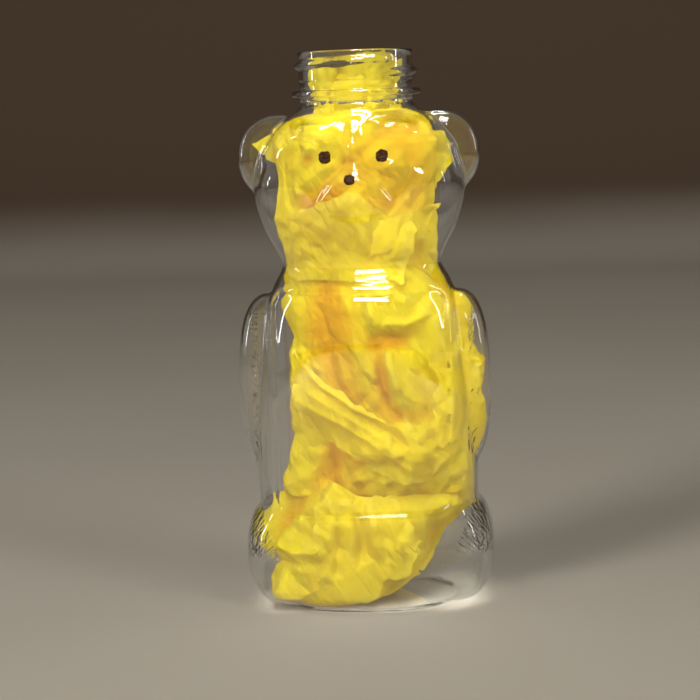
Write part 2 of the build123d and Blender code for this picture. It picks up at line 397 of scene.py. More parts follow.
OUTER_SPACING = 0.87
INNER_SPACING = 1.3


def bottle_shell(material):
    """The outer skin, the inner skin and the neck, bridged where they meet. At NECK_START
    the points that cut_level leaves are not picked, so the bridge there isn't a closed seam
    and has stray faces across the neck."""
    outer = piece_from("bottle_shell", *net(body, OUTER_SPACING))
    cut_level(outer, NECK_START)
    points, quads = net(inside, INNER_SPACING)
    inner = piece_from("inner_skin", points, quads[:, ::-1])
    cut_level(inner, BORE_START)
    top = neck()
    only(outer)
    inner.select_set(True)
    top.select_set(True)
    bpy.ops.object.join()
    for height in (NECK_START, BORE_START):
        bpy.ops.object.mode_set(mode="EDIT")
        bpy.ops.mesh.select_all(action="DESELECT")
        bpy.ops.object.mode_set(mode="OBJECT")
        mesh = bmesh.new()
        mesh.from_mesh(outer.data)
        for e in mesh.edges:
            e.select = e.is_boundary and all(abs(v.co.z - height * MM) < 0.05 * MM for v in e.verts)
        mesh.to_mesh(outer.data)
        mesh.free()
        bpy.ops.object.mode_set(mode="EDIT")
        bpy.ops.mesh.select_mode(type="EDGE")
        bpy.ops.mesh.bridge_edge_loops()
        bpy.ops.object.mode_set(mode="OBJECT")
    bpy.ops.object.mode_set(mode="EDIT")
    bpy.ops.mesh.select_all(action="SELECT")
    bpy.ops.mesh.normals_make_consistent(inside=False)
    bpy.ops.object.mode_set(mode="OBJECT")
    outer.data.polygons.foreach_set("use_smooth", [True] * len(outer.data.polygons))
    return finished(outer, ["bottle"], material)


# Shader maths


class Surface:
    """A material's node tree, with one way to add a node."""

    def __init__(self, name):
        self.material = bpy.data.materials.new(name)
        self.material.use_nodes = True
        self.tree = self.material.node_tree
        self.tree.nodes.clear()
        self.output = self.node("ShaderNodeOutputMaterial")

    def node(self, kind, settings=None, /, **inputs):
        node = self.tree.nodes.new(kind)
        for name, value in (settings or {}).items():
            setattr(node, name, value)
        self.feed(node, {name.replace("_", " "): value for name, value in inputs.items()})
        return node

    def feed(self, node, inputs):
        for name, value in inputs.items():
            socket = node.inputs[name]
            if isinstance(value, Value):
                self.tree.links.new(value.socket, socket)
            elif isinstance(value, bpy.types.NodeSocket):
                self.tree.links.new(value, socket)
            else:
                socket.default_value = value

    def value(self, socket):
        return Value(self, socket)

    def maths(self, operation, *values):
        node = self.tree.nodes.new("ShaderNodeMath")
        node.operation = operation
        self.feed(node, dict(enumerate(values)))
        return Value(self, node.outputs[0])

    def where(self):
        return self.node("ShaderNodeTexCoord").outputs["Object"]

    def parts(self, vector):
        node = self.node("ShaderNodeSeparateXYZ", Vector=vector)
        return [self.value(node.outputs[i]) for i in range(3)]

    def grain(self, scale, detail, stretch=(1, 1, 1), vector=None):
        place = self.node("ShaderNodeMapping", Vector=vector or self.where(), Scale=stretch)
        return self.value(
            self.node(
                "ShaderNodeTexNoise", Vector=place.outputs[0], Scale=scale, Detail=detail
            ).outputs["Fac"]
        )

    def blend(self, share, a, b):
        node = self.node("ShaderNodeMix", {"data_type": "RGBA"})
        self.feed(node, {"Factor": share})
        for name, value in (("A", a), ("B", b)):
            socket = next(s for s in node.inputs if s.name == name and s.type == "RGBA")
            if isinstance(value, bpy.types.NodeSocket):
                self.tree.links.new(value, socket)
            else:
                socket.default_value = value
        return next(s for s in node.outputs if s.type == "RGBA")

    def bump(self, height, distance):
        return self.node("ShaderNodeBump", Height=height, Distance=distance).outputs[0]

    def show(self, shader):
        self.tree.links.new(shader, self.output.inputs["Surface"])
        return self.material


class Value:
    """A number that varies over a surface."""

    def __init__(self, surface, socket):
        self.surface = surface
        self.socket = socket

    def __add__(self, other):
        return self.surface.maths("ADD", self, other)

    def __mul__(self, other):
        return self.surface.maths("MULTIPLY", self, other)

    def __sub__(self, other):
        return self.surface.maths("SUBTRACT", self, other)

    def __rsub__(self, other):
        return self.surface.maths("SUBTRACT", other, self)

    def __pow__(self, other):
        return self.surface.maths("POWER", self, other)

    __radd__ = __add__
    __rmul__ = __mul__

    def between(self, low, high):
        """0 up to low, 1 from high, and smooth between them."""
        node = self.surface.node(
            "ShaderNodeMapRange", {"interpolation_type": "SMOOTHSTEP"}, From_Min=low, From_Max=high
        )
        self.surface.feed(node, {"Value": self})
        return Value(self.surface, node.outputs["Result"])


PLASTIC_CLEAR = (0.975, 0.985, 0.98, 1)
PLASTIC_SHADOW = (0.95, 0.96, 0.96, 1)
FUR_SLANT = 0.75
# Where the moulded fur lies, in metres. On the haunch it is outside a leaning line through
# a point (x, z). Each pair of numbers below that is the start and the end of a soft edge.
HAUNCH_POINT = (0.0255, 0.019)
HAUNCH_LEAN = 0.5
HAUNCH_INNER = (0.0, 0.0015)
HAUNCH_FOOT, HAUNCH_TOP = (0.0165, 0.0195), (0.034, 0.037)
SLEEVE_INNER, SLEEVE_OUTER = (0.0312, 0.0318), (0.0332, 0.0342)
SLEEVE_FOOT, SLEEVE_TOP = (0.046, 0.05), (0.088, 0.093)
TOES_INNER, TOES_OUTER = (0.008, 0.0095), (0.0155, 0.017)
TOES_FOOT, TOES_TOP = (0.012, 0.014), (0.021, 0.023)
FRONT_HALF = (-0.004, 0.004)
PANEL_EDGE = (0.0044, 0.0053)
RELIEF = 0.00035


def clear_plastic():
    """Clear glossy plastic, with the moulded fur and the crisp edge of the label panels."""
    surface = Surface("clear_moulded_plastic")
    x, y, z = surface.parts(surface.where())
    aside = surface.maths("ABSOLUTE", x)
    front = 1 - y.between(*FRONT_HALF)
    mirrored = surface.node("ShaderNodeCombineXYZ", X=aside, Y=y, Z=z).outputs[0]
    slanted = surface.node(
        "ShaderNodeMapping", Vector=mirrored, Rotation=(0, FUR_SLANT, 0)
    ).outputs[0]
    tufts = surface.grain(1.0, 1.0, stretch=(1150, 500, 240), vector=slanted).between(0.36, 0.62)
    rows = surface.grain(1.0, 1.0, stretch=(300, 500, 800), vector=slanted).between(0.4, 0.62)
    haunch = (aside - HAUNCH_POINT[0]) - HAUNCH_LEAN * (z - HAUNCH_POINT[1])
    haunch = haunch.between(*HAUNCH_INNER) * z.between(*HAUNCH_FOOT) * (1 - z.between(*HAUNCH_TOP))
    sleeve = aside.between(*SLEEVE_INNER) * (1 - aside.between(*SLEEVE_OUTER))
    sleeve = sleeve * z.between(*SLEEVE_FOOT) * (1 - z.between(*SLEEVE_TOP)) * front
    toes = aside.between(*TOES_INNER) * (1 - aside.between(*TOES_OUTER))
    toes = toes * z.between(*TOES_FOOT) * (1 - z.between(*TOES_TOP)) * front
    fur = 0.6 * tufts * haunch + 0.4 * rows * sleeve + 0.4 * tufts * toes
    across = aside - (PANEL_HALF_WIDTH - PANEL_CORNER) * MM
    middle = (PANEL_LOW + PANEL_HIGH) / 2 * MM
    up = surface.maths("ABSOLUTE", z - middle) - ((PANEL_HIGH - PANEL_LOW) / 2 - PANEL_CORNER) * MM
    corner = surface.maths("MAXIMUM", across, 0.0) ** 2.0 + surface.maths("MAXIMUM", up, 0.0) ** 2.0
    flank = surface.maths("MINIMUM", surface.maths("MAXIMUM", across, up), 0.0)
    panel_edge = (surface.maths("SQRT", corner) + flank).between(*PANEL_EDGE)
    ripple = 0.1 * surface.grain(60, 1.0) + fur + 0.7 * panel_edge
    gloss = surface.node(
        "ShaderNodeBsdfPrincipled",
        Base_Color=PLASTIC_CLEAR,
        Roughness=0.008,
        IOR=1.52,
        Normal=surface.bump(ripple, RELIEF),
    )
    gloss.inputs["Transmission Weight"].default_value = 1
    gloss.inputs["Coat Weight"].default_value = 1
    gloss.inputs["Coat Roughness"].default_value = 0.01
    clear = surface.node("ShaderNodeBsdfTransparent", Color=PLASTIC_SHADOW)
    shadow = surface.node("ShaderNodeLightPath").outputs["Is Shadow Ray"]
    mix = surface.node("ShaderNodeMixShader")
    surface.tree.links.new(shadow, mix.inputs[0])
    surface.tree.links.new(gloss.outputs[0], mix.inputs[1])
    surface.tree.links.new(clear.outputs[0], mix.inputs[2])
    return surface.show(mix.outputs[0])


# The orange is painted shade down in the folds and hollows of the paper.
PAPER_YELLOW = (0.87, 0.715, 0.012, 1)
PAPER_SHADE_ORANGE = (0.80, 0.40, 0.002, 1)
# The pale creased colour is a painted highlight along the crease ridges and torn edges.
PAPER_CREASE_HIGHLIGHT = (0.92, 0.80, 0.10, 1)
PAPER_LIT_THROUGH = (0.88, 0.66, 0.015, 1)
THINNESS = 0.42
# Fine facets, per metre, that wander a little and are drawn out along the drape
FACET_SCALES = (85.0, 190.0, 420.0)
FACET_WANDER = 0.0026
FACET_TURN = 1.05
FACET_STRETCH = 2.2


def tissue_paper():
    """Thin yellow tissue, with painted shade down in the folds and painted highlights on the
    creases.
    """
    surface = Surface("yellow_tissue_paper")
    painted_shade, crease_highlight = (
        surface.value(surface.node("ShaderNodeAttribute", {"attribute_name": key}).outputs["Fac"])
        for key in ("fold_shade", "crease_highlight")
    )
    cloud = surface.grain(90, 3.0)
    # Painted shade: the paper turns deep orange down in the folds, crease valleys and shade
    # patches; the cloud adds random tone.
    tone = (painted_shade + 0.2 * cloud - 0.1).between(0.2, 1.0)
    colour = surface.blend(tone, PAPER_YELLOW, PAPER_SHADE_ORANGE)
    # Painted highlight: paler along the crease ridges and torn edges.
    colour = surface.blend(crease_highlight.between(0.2, 1.0) * 0.4, colour, PAPER_CREASE_HIGHLIGHT)
    bent = surface.node("ShaderNodeTexNoise", Vector=surface.where(), Scale=160.0, Detail=1.0)
    wander = surface.node(
        "ShaderNodeVectorMath",
        {"operation": "SCALE"},
        Vector=bent.outputs["Color"],
        Scale=FACET_WANDER,
    )
    place = surface.node("ShaderNodeVectorMath", {"operation": "ADD"})
    surface.feed(place, {0: surface.where(), 1: wander.outputs[0]})
    along = surface.node(
        "ShaderNodeMapping",
        {"vector_type": "TEXTURE"},
        Vector=place.outputs[0],
        Rotation=(0, FACET_TURN, 0),
        Scale=(FACET_STRETCH, 1, 1),
    ).outputs[0]
    facets = [
        surface.value(
            surface.node(
                "ShaderNodeTexVoronoi", {"feature": "DISTANCE_TO_EDGE"}, Vector=along, Scale=scale
            ).outputs["Distance"]
        )
        for scale in FACET_SCALES
    ]
    fibre = surface.grain(1400, 2.0, stretch=(1, 1, 0.4))
    crumpled = surface.grain(55, 1.0).between(0.42, 0.6)
    folds = 3.4 * facets[0] + (0.8 + 1.2 * crumpled) * facets[1]
    folds = folds + (0.1 + 0.5 * crumpled) * facets[2]
    normal = surface.bump(folds + 0.03 * fibre, 0.001)
    paper = surface.node(
        "ShaderNodeBsdfPrincipled", Base_Color=colour, Roughness=0.62, Normal=normal
    )
    paper.inputs["Specular IOR Level"].default_value = 0.04
    through = surface.node("ShaderNodeBsdfTranslucent", Color=PAPER_LIT_THROUGH)
    mix = surface.node("ShaderNodeMixShader")
    mix.inputs[0].default_value = THINNESS
    surface.tree.links.new(paper.outputs[0], mix.inputs[1])
    surface.tree.links.new(through.outputs[0], mix.inputs[2])
    return surface.show(mix.outputs[0])


PAINT_DARK = (0.035, 0.013, 0.005, 1)
PAINT_THIN = (0.13, 0.06, 0.02, 1)


def dark_paint():
    """Dark brown paint, thin enough in its streaks to look lighter there."""
    surface = Surface("dabbed_dark_paint")
    streaks = surface.grain(2600, 3.0, stretch=(0.25, 1, 1))
    colour = surface.blend(streaks.between(0.42, 0.72), PAINT_DARK, PAINT_THIN)
    normal = surface.bump(streaks, 0.00015)
    paint = surface.node(
        "ShaderNodeBsdfPrincipled", Base_Color=colour, Roughness=0.5, Normal=normal
    )
    paint.inputs["Specular IOR Level"].default_value = 0.12
    return surface.show(paint.outputs[0])


# Tissue paper

PAPER_CLEARANCE = 0.45
PAPER_STEP = 0.55
CREASE_REACH = 0.7
CREASE_WANDER = 0.22
BUNDLE_SQUARENESS = 2.2
OVERLAP = 0.09
RAY_START = -60
# Sets of creases: how many, the shortest and longest facets, and their steepness
BUNDLE_CREASES = ((5, 14.0, 30.0, 0.38), (4, 5.0, 11.0, 0.27))
FLAP_CREASES = ((4, 9.0, 20.0, 0.4), (4, 4.0, 9.0, 0.28))
RUFFLE_CREASES = ((6, 4.0, 10.0, 0.36), (6, 2.0, 4.5, 0.3))


def kept_inside(points):
    """Paper that would pass through the wall lies against its inside instead."""
    for _ in range(3):
        over = inside(points.T) + PAPER_CLEARANCE
        slope = slope_of(inside, points)
        size = np.maximum((slope**2).sum(1), 0.3)
        points = points - slope * (np.maximum(over, 0) / size)[:, None]
    return points


def line_reach(x, z, line):
    """Signed distance from a fold's line, positive to its right, and the way along it."""
    best = np.full(x.shape, 1e9)
    side = np.zeros(x.shape)
    along = np.zeros(x.shape)
    lengths = [math.dist(a, b) for a, b in zip(line, line[1:])]
    done = 0
    for (ax, az), (bx, bz), length in zip(line, line[1:], lengths):
        ux, uz = (bx - ax) / length, (bz - az) / length
        t = np.clip((x - ax) * ux + (z - az) * uz, 0, length)
        dx, dz = x - ax - t * ux, z - az - t * uz
        reach = np.hypot(dx, dz)
        nearer = reach < best
        best = np.where(nearer, reach, best)
        side = np.where(nearer, np.sign(dx * uz - dz * ux), side)
        along = np.where(nearer, done + t, along)
        done += length
    return best * side, along / sum(lengths)


def fold_rise(x, z, folds):
    """Folds laid along given lines. Each rises at its line and slopes away: to its right over the
    first width, to its left over the second."""
    rise = np.zeros(x.shape)
    for line, height, right, left in folds:
        reach, along = line_reach(x, z, line)
        width = np.where(reach > 0, right, left)
        ends = np.clip(np.minimum(along, 1 - along) * 6, 0.2, 1)
        rise += height * ends * np.exp(-((np.abs(reach) / width) ** 1.3))
    return rise


def drift(points, size, seed):
    """Slow random drift, one vector for each point."""
    shift = Vector((seed * 3.7, seed * 1.9, seed * 5.3))
    return np.array([noise.noise_vector(Vector(p) / size + shift) for p in points])


def creases(points, seed, count, shortest, longest, steepness):
    """Flat facets that meet in sharp creases, as in crumpled paper. Each set of creases
    runs one way, wanders a little, and dies out in places."""
    dice = np.random.default_rng(seed)
    wander = points + drift(points, 2.2 * longest, seed) * CREASE_WANDER * longest
    fade = drift(points, 1.3 * longest, seed + 50)
    rise = np.zeros(len(points))
    line = np.zeros(len(points))
    for number in range(count):
        way = dice.normal(size=3) * (1, 1, 0.5)
        way /= np.linalg.norm(way)
        length = dice.uniform(shortest, longest)
        t = wander @ way / length + dice.random()
        ramp = np.abs(t - np.floor(t) - 0.5) * 2
        strength = np.clip(0.5 + 1.8 * fade[:, number % 3] * (1 if number % 2 else -1), 0.05, 1)
        rise += steepness * length / 2 * (ramp - 0.5) * strength
        reach = (1 - ramp) * length / 2
        line = np.maximum(line, strength * np.clip(1 - reach / CREASE_REACH, 0, 1))
    return rise, line


def patch_share(points, patches, which):
    """How far each point lies in the calm places of the paper, or in its places of painted shade.
    """
    share = np.zeros(len(points))
    for (px, pz), (rx, rz), calm, shade_patch in patches:
        near = np.exp(-(((points[:, 0] - px) / rx) ** 2 + ((points[:, 2] - pz) / rz) ** 2) * 1.4)
        share += near * (calm, shade_patch)[which]
    return share


def sheet_piece(name, node, points, columns, rows, painted_shade, crease_highlight, material):
    """A sheet of tissue from its grid of points, column by column."""
    index = np.arange(columns * rows).reshape(columns, rows)
    quads = [index[:-1, :-1], index[1:, :-1], index[1:, 1:], index[:-1, 1:]]
    piece = piece_from(name, points, np.stack(quads, -1).reshape(-1, 4))
    mesh = piece.data
    # The painted shade and the painted crease highlights go to the material as point attributes.
    for key, values in (("fold_shade", painted_shade), ("crease_highlight", crease_highlight)):
        mesh.attributes.new(key, "FLOAT", "POINT").data.foreach_set("value", np.clip(values, 0, 1))
    mesh.polygons.foreach_set("use_smooth", [True] * len(mesh.polygons))
    finished(piece, node, material)
    return piece


def wad(name, node, stations, folds, patches, turn, seed, rough, material, torn_top):
    """One sheet of tissue gathered into a loose bundle. Stations hold height, left, right,
    front and back; the sheet goes round them with a little to spare, so an edge overlaps."""
    table = np.array(stations)
    steps = np.hypot(np.diff(table[:, 0]), np.abs(np.diff(table[:, 1:], axis=0)).max(1))
    run = np.concatenate(([0], np.cumsum(steps)))
    rows = int(round(run[-1] / PAPER_STEP)) + 1
    around = table[:, 2].max() - table[:, 1].min() + table[:, 4].max() - table[:, 3].min()
    columns = int(around * 1.5 / PAPER_STEP)
    u, v = np.meshgrid(
        np.linspace(0, 1 + OVERLAP, columns), np.linspace(0, 1, rows), indexing="ij"
    )
    z, left, right, front, back = (np.interp(v * run[-1], run, column) for column in table.T)
    angle = math.radians(turn) + 2 * math.pi * u
    ends = np.stack([np.cos(angle) * 15, np.sin(angle) * 15, np.zeros(angle.shape)], -1)
    tear = drift(ends.reshape(-1, 3), 6.0, seed)[:, 2].reshape(angle.shape)
    z = z + torn_top * tear * np.clip(v * 5 - 4, 0, 1)
    c, s = np.cos(angle), np.sin(angle)
    share = np.abs(c) ** BUNDLE_SQUARENESS + np.abs(s) ** BUNDLE_SQUARENESS
    round_off = share ** (-1 / BUNDLE_SQUARENESS)
    half_width, half_depth = (right - left) / 2, (back - front) / 2
    x = (left + right) / 2 + half_width * c * round_off
    y = (front + back) / 2 + half_depth * s * round_off
    points = np.stack([x, y, z], -1).reshape(-1, 3)
    outward = np.stack([c / half_width, s / half_depth, np.zeros(c.shape)], -1).reshape(-1, 3)
    outward /= np.linalg.norm(outward, axis=1)[:, None]
    facing = np.clip(-outward[:, 1] * 1.6, 0, 1)
    calm = np.clip(patch_share(points, patches, 0), 0, 1) * facing
    # Patches of painted shade, where the paper is made deeper orange.
    shade_patch = patch_share(points, patches, 1) * facing
    hand = fold_rise(points[:, 0], points[:, 2], folds) * facing
    large, ridge = creases(points, seed, *BUNDLE_CREASES[0])
    small, wrinkle = creases(points, seed + 1, *BUNDLE_CREASES[1])
    tuck = -1.6 * np.clip((u.reshape(-1) - 1) / OVERLAP + 0.2, 0, 1)
    rise = rough * ((1 - 0.5 * calm) * large + (1 - 0.85 * calm) * small) + hand + tuck
    rise *= np.clip(np.minimum(half_width, half_depth).reshape(-1) / 8, 0, 1)
    points = kept_inside(points + outward * rise[:, None])
    # Painted shade: deeper orange down in the crease valleys and folds, and in the shade patches.
    painted_shade = 0.30 - 0.13 * large - 0.16 * small - 0.10 * hand + shade_patch
    # Painted highlight along the crease ridges.
    crease_highlight = 0.9 * ridge + 0.6 * wrinkle * (1 - calm)
    return sheet_piece(name, node, points, columns, rows, painted_shade, crease_highlight, material)


def flap(
    name, node, edges, target, lift, seed, rough, material,
    folds=(), ragged=0.8, crown=((0, 0), (1, 0)),
):
    """A loose piece of the paper that lies over the front of a bundle. Edges are its left and
    its right side, each from the bottom up, and the crown is how its top edge rises."""
    tree = BVHTree.FromObject(target, bpy.context.evaluated_depsgraph_get())
    sides = []
    for edge in edges:
        line = np.array(edge)
        run = np.concatenate(([0], np.cumsum(np.linalg.norm(np.diff(line, axis=0), axis=1))))
        sides.append((line, run / run[-1], run[-1]))
    rows = int(max(side[2] for side in sides) / PAPER_STEP) + 1
    widths = np.linalg.norm(np.array(edges[0])[[0, -1]] - np.array(edges[1])[[0, -1]], axis=1)
    columns = int(max(widths.max(), 4) / PAPER_STEP) + 2
    t = np.linspace(0, 1, rows)
    left, right = (
        np.stack([np.interp(t, share, line[:, i]) for i in (0, 1)], -1) for line, share, _ in sides
    )
    u = np.linspace(0, 1, columns)[:, None, None]
    flat_points = (1 - u) * left + u * right
    flat_points[..., 1] += np.interp(u[..., 0], *np.transpose(crown)) * t**2
    flat_points = flat_points.reshape(-1, 2)
    v = np.broadcast_to(t, (columns, rows)).reshape(-1)
    border = np.minimum(np.minimum(v, 1 - v), np.minimum(u, 1 - u).repeat(rows, 1).reshape(-1)) * 8
    torn = np.clip(1 - border, 0, 1)
    spots = np.stack([flat_points[:, 0], np.zeros(len(flat_points)), flat_points[:, 1]], -1)
    spots += drift(spots, 2.4, seed) * (ragged * torn)[:, None]
    depths = np.empty(len(spots))
    for i, (x, _, z) in enumerate(spots):
        hit = tree.ray_cast(Vector((x, RAY_START, z)) * MM, Vector((0, 1, 0)))[0]
        depths[i] = hit.y / MM if hit else np.nan
    low = np.nanpercentile(depths, 70)
    grid = np.where(np.isnan(depths), low, depths).reshape(columns, rows)
    for _ in range(30):
        padded = np.pad(grid, 1, mode="edge")
        grid = (padded[:-2, 1:-1] + padded[2:, 1:-1] + padded[1:-1, :-2] + padded[1:-1, 2:]) / 4
    spots[:, 1] = np.minimum(grid.reshape(-1), np.where(np.isnan(depths), low, depths) + 0.3) - lift
    large, ridge = creases(spots, seed, *FLAP_CREASES[0])
    small, wrinkle = creases(spots, seed + 1, *FLAP_CREASES[1])
    hand = fold_rise(spots[:, 0], spots[:, 2], folds)
    spots[:, 1] -= rough * (large + small) + hand
    points = kept_inside(spots)
    # Painted shade: deeper orange down in the crease valleys and folds.
    painted_shade = 0.12 - 0.12 * large - 0.14 * small - 0.1 * hand
    # Painted highlight along the crease ridges and the torn edges.
    crease_highlight = 0.8 * ridge + 0.6 * wrinkle + 0.6 * torn
    return sheet_piece(name, node, points, columns, rows, painted_shade, crease_highlight, material)


def ruffle(name, node, loop, bottom, top, pleats, seed, material):
    """A strip of paper standing on its edge along a winding line, with a torn top edge."""
    line = np.array(loop)
    run = np.concatenate(([0], np.cumsum(np.linalg.norm(np.diff(line, axis=0), axis=1))))
    columns = int(run[-1] * 1.35 / PAPER_STEP)
    way = np.linspace(0, run[-1], columns)
    x, y = (np.interp(way, run, line[:, i]) for i in (0, 1))
    for _ in range(14):
        x[1:-1] = (x[:-2] + 2 * x[1:-1] + x[2:]) / 4
        y[1:-1] = (y[:-2] + 2 * y[1:-1] + y[2:]) / 4
    along = np.stack([np.gradient(x), np.gradient(y)], -1)
    along /= np.linalg.norm(along, axis=1)[:, None]
    across = np.stack([along[:, 1], -along[:, 0]], -1)
    rows = int((max(top) - bottom) / PAPER_STEP) + 1
    t = np.linspace(0, 1, rows)[None, :]
    crest = np.interp(way, np.linspace(0, run[-1], len(top)), top)[:, None]
    z = bottom + t * (crest - bottom)
    wave = pleats * np.sin(way / 1.1 + 2.2 * np.sin(way / 5.3 + seed))[:, None] * (0.5 + 0.5 * t)
    points = np.stack(
        [x[:, None] + across[:, :1] * wave, y[:, None] + across[:, 1:] * wave, z], -1
    ).reshape(-1, 3)
    torn = np.broadcast_to(np.clip(t * 6 - 5, 0, 1), z.shape).reshape(-1)
    large, ridge = creases(points, seed, *RUFFLE_CREASES[0])
    small, wrinkle = creases(points, seed + 1, *RUFFLE_CREASES[1])
    push = np.repeat(np.concatenate([across, np.zeros((columns, 1))], 1), rows, 0)
    points = points + push * (large + small)[:, None]
    points += drift(points, 2.2, seed) * (0.9 * torn)[:, None]
    points = kept_inside(points)
    # Painted shade: deeper orange along the creases and towards the bottom of the strip, down in
    # the neck.
    painted_shade = 0.1 - 0.2 * large - 0.2 * small + 0.2 * (1 - (points[:, 2] - bottom) / 16)
    # Painted highlight along the crease ridges and the torn top edge.
    crease_highlight = 0.6 * ridge + 0.5 * wrinkle + 0.6 * torn
    return sheet_piece(name, node, points, columns, rows, painted_shade, crease_highlight, material)


# Height, left, right, front and back of each bundle
BODY_WAD_STATIONS = (
    (33.0, 1.9, 2.1, -1.1, -0.9),
    (33.2, -20.0, 24.0, -11.0, 9.0),
    (35.0, -26.0, 30.5, -17.5, 13.5),
    (40.0, -24.7, 31.5, -19.0, 13.7),
    (43.0, -22.5, 31.5, -19.5, 14.2),
    (49.0, -19.8, 31.5, -21.0, 15.5),
    (54.0, -19.3, 35.5, -20.5, 16.5),
    (57.0, -20.7, 35.9, -20.5, 17.0),
    (65.0, -22.3, 35.2, -21.0, 17.0),
    (73.5, -23.2, 36.6, -21.5, 17.0),
    (78.0, -22.7, 32.0, -21.0, 16.5),
    (83.0, -19.8, 30.4, -20.8, 15.5),
    (91.5, -21.0, 30.4, -20.0, 15.3),
    (99.0, -19.2, 26.0, -17.5, 14.0),
    (104.0, -19.0, 21.0, -15.2, 13.2),
    (108.0, -19.3, 20.5, -14.8, 12.9),
    (112.0, -20.7, 21.0, -15.6, 12.6),
    (119.0, -23.6, 21.2, -17.2, 12.6),
    (125.0, -23.4, 22.0, -18.4, 13.0),
    (134.0, -23.6, 24.6, -18.6, 13.6),
    (141.0, -24.2, 25.6, -17.0, 13.5),
    (145.5, -23.6, 24.0, -14.6, 12.4),
    (149.0, -18.5, 19.0, -12.0, 11.0),
    (150.8, -12.0, 12.0, -9.0, 9.0),
    (151.2, -0.1, 0.1, -0.1, 0.1),
)
BASE_STATIONS = (
    (1.1, -11.1, -10.9, -8.1, -7.9),
    (1.2, -29.0, 7.0, -20.5, 4.0),
    (3.0, -30.0, 8.0, -21.8, 6.5),
    (6.0, -32.0, 10.6, -22.5, 9.0),
    (12.0, -30.0, 17.0, -22.5, 10.7),
    (15.0, -28.4, 18.6, -21.8, 11.0),
    (18.0, -33.0, 20.0, -21.5, 11.3),
    (24.0, -33.0, 25.0, -21.0, 12.8),
    (28.0, -31.0, 28.0, -21.0, 14.2),
    (31.0, -29.0, 31.0, -20.5, 15.0),
    (35.8, -27.0, 30.0, -17.0, 14.5),
)
NECK_WAD_STATIONS = (
    (149.4, -10.0, 10.0, -10.0, 10.0),
    (153.0, -12.0, 12.0, -12.0, 12.0),
    (158.0, -12.4, 12.4, -12.4, 12.4),
    (161.4, -10.5, 10.5, -10.5, 10.5),
    (163.0, -6.0, 6.0, -6.0, 6.0),
    (163.4, -0.1, 0.1, -0.1, 0.1),
)

# A fold's line as (x, z), how high it stands, and how far it slopes to its right and left
BODY_FOLDS = (
    (
        ((0.0, 88.0), (4.0, 83.4), (5.2, 78.0), (6.0, 70.0), (9.0, 62.0), (15.5, 55.2)),
        -3.0, 2.2, 2.6,
    ),
    (((4.0, 84.5), (9.0, 83.6), (16.3, 83.0)), -2.6, 3.0, 1.6),
    (((6.0, 88.0), (13.0, 87.4), (20.0, 90.0)), 1.8, 1.6, 1.0),
    (((8.5, 82.0), (9.5, 74.0), (12.0, 66.0)), 2.4, 3.4, 0.7),
    (((-17.5, 97.0), (-18.6, 88.0), (-17.0, 80.0)), 1.2, 5.0, 1.5),
    (((-13.0, 50.0), (-15.0, 44.0), (-19.0, 38.0)), 1.2, 2.0, 1.0),
    (((-4.0, 47.5), (2.0, 45.5), (8.0, 46.0)), -1.8, 1.6, 1.0),
    (((-2.0, 148.0), (-4.0, 140.0), (-3.0, 132.0)), -1.2, 1.5, 1.5),
    (((12.0, 116.0), (11.0, 108.0), (13.0, 98.0)), 1.4, 2.0, 0.6),
    (((-6.0, 104.0), (-5.0, 97.0), (-2.0, 90.0)), 1.2, 3.0, 0.6),
)
# Calm places and places of painted shade: middle (x, z), reach, calmness and how much painted shade
BODY_PATCHES = (
    ((-7.0, 89.0), (12.0, 15.0), 0.9, 0.36),
    ((-14.0, 124.0), (6.0, 3.0), 0.3, 0.45),
    ((-4.0, 130.0), (5.0, 2.5), 0.3, 0.1),
    ((8.0, 123.5), (7.0, 2.5), 0.3, 0.25),
    ((-4.0, 47.0), (12.0, 3.0), 0.2, 0.2),
    ((-14.0, 84.0), (5.0, 4.0), 0.6, 0.25),
    ((8.0, 82.0), (7.0, 3.0), 0.5, 0.7),
    ((6.5, 72.0), (2.2, 9.0), 0.3, 0.7),
    ((13.0, 60.0), (7.0, 2.6), 0.2, 0.5),
    ((20.0, 60.0), (4.0, 14.0), 0.2, 0.2),
    ((-13.5, 137.0), (3.0, 2.4), 0.2, 0.8),
    ((-8.0, 126.5), (4.0, 4.0), 0.5, 0.5),
    ((12.0, 138.0), (8.0, 8.0), 0.6, 0.0),
)
BASE_FOLDS = (
    (((-30.0, 21.0), (-22.0, 18.5), (-14.0, 19.0)), 1.6, 1.2, 2.5),
    (((6.0, 30.0), (7.0, 20.0), (6.0, 8.0)), 1.6, 3.0, 0.8),
)
# Left and right side of each flap from the bottom up, and how its top edge rises between them
SASH_EDGES = (
    ((-19.0, 57.0), (-20.8, 67.0), (-20.8, 80.5)),
    ((11.5, 39.0), (20.0, 40.0), (24.2, 46.5)),
)
SASH_CROWN = ((0, 0), (0.15, -2.5), (0.5, -1.5), (0.8, 1.0), (1, 0))
SASH_FOLDS = (
    (((-20.0, 79.0), (-12.0, 69.0), (2.0, 60.5), (13.0, 56.5), (22.0, 47.0)), 3.4, 3.4, 1.0),
    (((-19.0, 64.0), (-6.0, 57.5), (5.0, 51.0), (16.0, 42.0)), 2.6, 1.4, 4.5),
    (((-18.5, 73.0), (-6.0, 63.5), (8.0, 55.5), (18.0, 48.0)), -2.2, 1.4, 1.4),
    (((-18.0, 68.0), (-4.0, 60.0), (8.0, 52.5)), 0.9, 1.4, 1.0),
)
CHEST_EDGES = (
    ((-18.5, 100.0), (-19.8, 108.0), (-21.0, 116.0), (-17.0, 121.5)),
    ((14.0, 101.0), (16.0, 108.0), (17.5, 115.0), (15.5, 119.0)),
)
CHEST_CROWN = (
    (0, 0), (0.25, 3.5), (0.46, 7.0), (0.56, 6.6), (0.68, 3.0), (0.85, -0.5), (1, 0),
)
